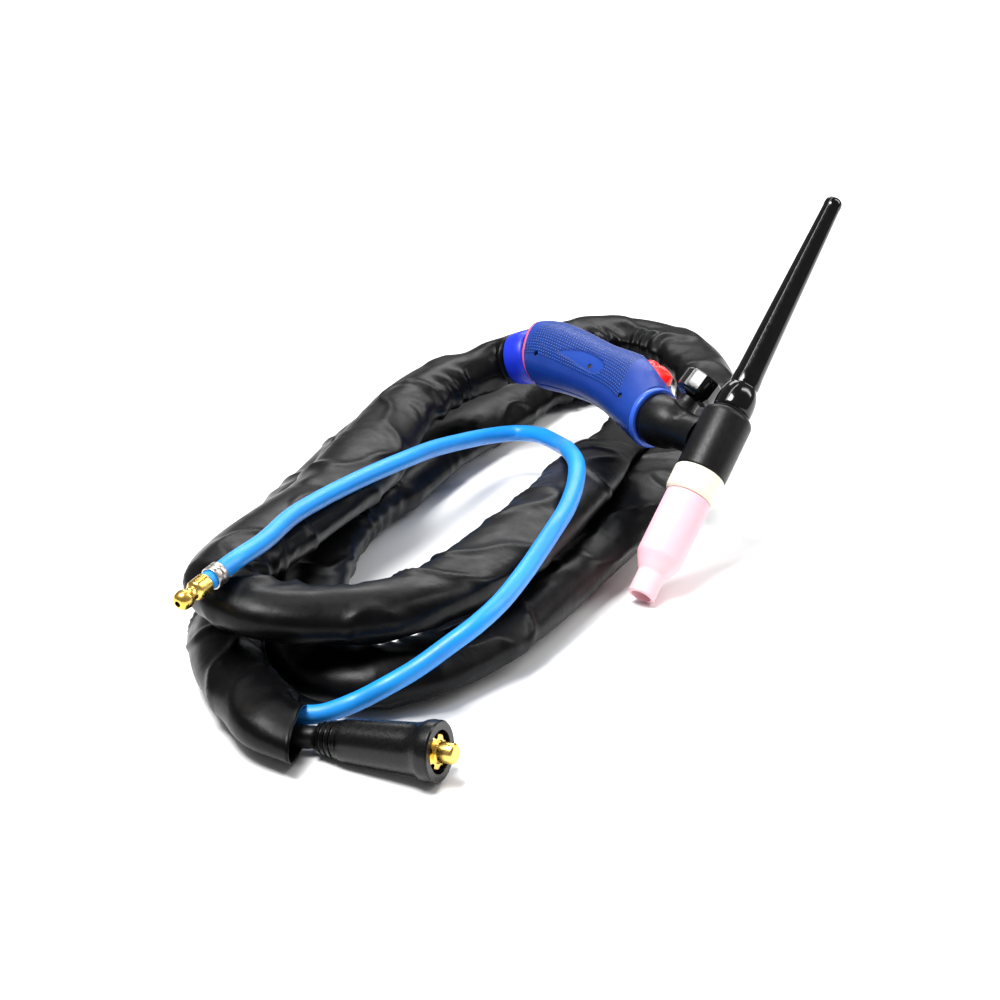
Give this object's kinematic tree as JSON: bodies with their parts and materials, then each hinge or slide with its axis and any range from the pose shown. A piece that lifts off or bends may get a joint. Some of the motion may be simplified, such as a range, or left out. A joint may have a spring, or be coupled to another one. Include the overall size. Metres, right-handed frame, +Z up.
{
  "type": "tig welding torch",
  "caption": "Gas-cooled TIG torch with long back cap, ceramic cup, valve knob, blue rocker-trigger grip, coiled black sleeve, gas hose and cable plug.",
  "frame": {"origin": "bottom centre of the torch's own box, without its cables, on the surface it rests on", "axes": "+Z up from the surface; +Y runs from the nozzle side towards the handle's rear; +X towards the back cap's side"},
  "size_m": [0.3104, 0.5177, 0.1572],
  "materials": {
    "black_rubber": "moulded satin black rubber",
    "black_phenolic": "polished black phenolic",
    "dark_nylon": "moulded dark nylon",
    "blue_grip": "satin blue, fields of fine raised dots",
    "light_blue_lip": "satin light blue",
    "royal_blue": "semi-gloss royal blue",
    "red_trigger": "semi-gloss red",
    "coral": "satin coral red",
    "ivory": "ivory insulator",
    "pink_alumina": "fine matt pale pink alumina",
    "brass": "turned brass",
    "copper": "turned copper alloy",
    "steel": "plated steel",
    "tungsten": "ground tungsten",
    "black_leather": "soft black sleeve with sheen and wrinkles",
    "plug_rubber": "moulded semi-gloss black rubber",
    "hose_blue": "smooth sky-blue hose"
  },
  "bodies": {
    "root": {"accent_ring": "coral", "back_cap_o_ring": "black_rubber", "cable_ferrule": "brass", "cable_sheath": "black_leather", "collet": "copper", "collet_body": "copper", "cup_gasket": "ivory", "front_ring": "light_blue_lip", "gas_hose": "hose_blue", "gas_plug": "brass", "handle_screw_1": "steel", "handle_screw_2": "steel", "handle_screw_3": "steel", "handle_shell_left": "blue_grip", "handle_shell_right": "blue_grip", "head_core": "brass", "head_jacket": "black_rubber", "hose_clamp": "steel", "inner_cable": "black_rubber", "knuckle_ball": "dark_nylon", "micro_switch": "dark_nylon", "neck_jacket": "black_rubber", "neck_tube": "brass", "plug_boot": "plug_rubber", "plug_housing": "plug_rubber", "plug_pin": "brass", "plug_set_screw": "steel", "power_cable": "black_rubber", "screw_insert_1": "brass", "screw_insert_2": "brass", "screw_insert_3": "brass", "switch_bracket": "dark_nylon", "trigger_pin": "steel", "trigger_spring": "steel", "valve_body": "black_rubber", "valve_o_ring": "black_rubber"},
    "trigger": {"trigger_rocker": "red_trigger"},
    "plunger": {"switch_plunger": "red_trigger"},
    "valve": {"valve_knob": "black_phenolic", "valve_stem": "brass", "knob_screw": "steel"},
    "cap": {"back_cap": "black_phenolic"},
    "electrode": {"tungsten_electrode": "tungsten"},
    "cup": {"nozzle_cup": "pink_alumina"},
    "collar": {"knuckle_collar": "royal_blue"}
  },
  "joints": [
    {"name": "trigger_rock", "type": "hinge", "parent": "root", "child": "trigger", "pos_m": [-0.01109, 0.0157, 0.06696], "axis": [0.5621, 0.3605, -0.7444], "range_deg": [-4, 4], "stiffness_Nm_per_rad": 0.05},
    {"name": "plunger_press", "type": "slide", "parent": "root", "child": "plunger", "axis": [0.5966, 0.4467, 0.6668], "range_m": [-0.0006, 0.0006]},
    {"name": "valve_turn", "type": "hinge", "parent": "root", "child": "valve", "pos_m": [-0.00225, -0.01512, 0.0587], "axis": [0.5966, 0.4467, 0.6668], "range_deg": [0, 540]},
    {"name": "cap_unscrew", "type": "hinge", "parent": "root", "child": "cap", "pos_m": [0.01723, -0.04296, 0.05993], "axis": [0.4373, 0.6344, 0.6374], "range_deg": [0, 720]},
    {"name": "electrode_set", "type": "slide", "parent": "root", "child": "electrode", "axis": [0.4373, 0.6344, 0.6374], "range_m": [-0.012, 0.004]},
    {"name": "cup_unscrew", "type": "hinge", "parent": "root", "child": "cup", "pos_m": [0.01723, -0.04296, 0.05993], "axis": [0.4373, 0.6344, 0.6374], "range_deg": [-720, 0]},
    {"name": "knuckle_swivel", "type": "hinge", "parent": "root", "child": "collar", "pos_m": [-0.06539, 0.08397, 0.05901], "axis": [-0.846, 0.4284, -0.3175], "range_deg": [-180, 180]}
  ],
  "couplings": [
    {"joint": "plunger_press", "follows": "trigger_rock", "m_per_rad": -0.0075}
  ]
}
